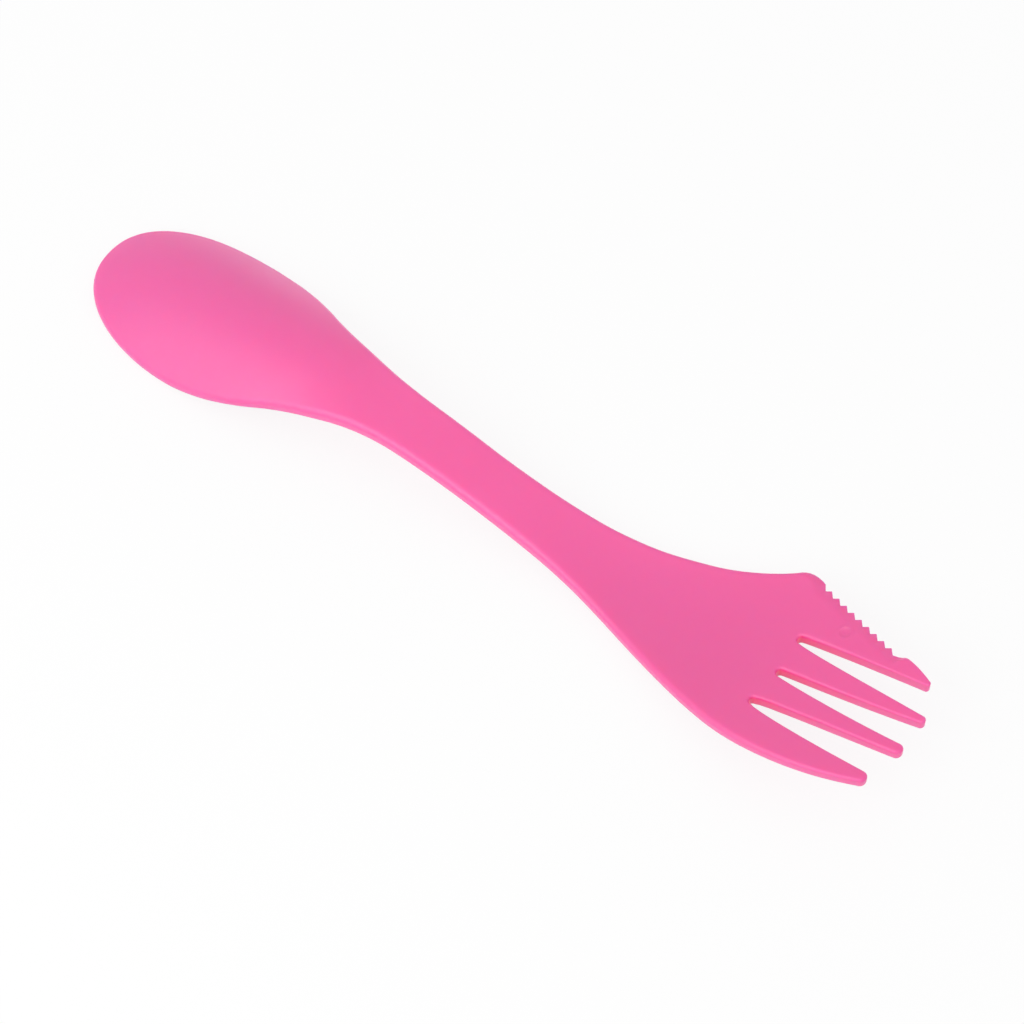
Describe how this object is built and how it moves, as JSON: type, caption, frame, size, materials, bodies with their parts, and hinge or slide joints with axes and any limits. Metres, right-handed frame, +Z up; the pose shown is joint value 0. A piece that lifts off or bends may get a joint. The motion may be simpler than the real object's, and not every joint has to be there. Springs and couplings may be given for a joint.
{
  "type": "spork",
  "caption": "Moulded camping spork with a spoon bowl at one end, a slim waisted handle and a fork with a serrated knife edge at the other.",
  "frame": {"origin": "middle of the footprint at table height, with the spork lying as it rests, bowl down and tines up", "axes": "+X from the spoon to the tips of the tines, +Y towards the serrated outer tine, +Z up"},
  "size_m": [0.17, 0.0336, 0.0121],
  "materials": {
    "spork_plastic": "satin, moulded through in one colour"
  },
  "bodies": {
    "root": {"spork": "spork_plastic"}
  },
  "joints": []
}
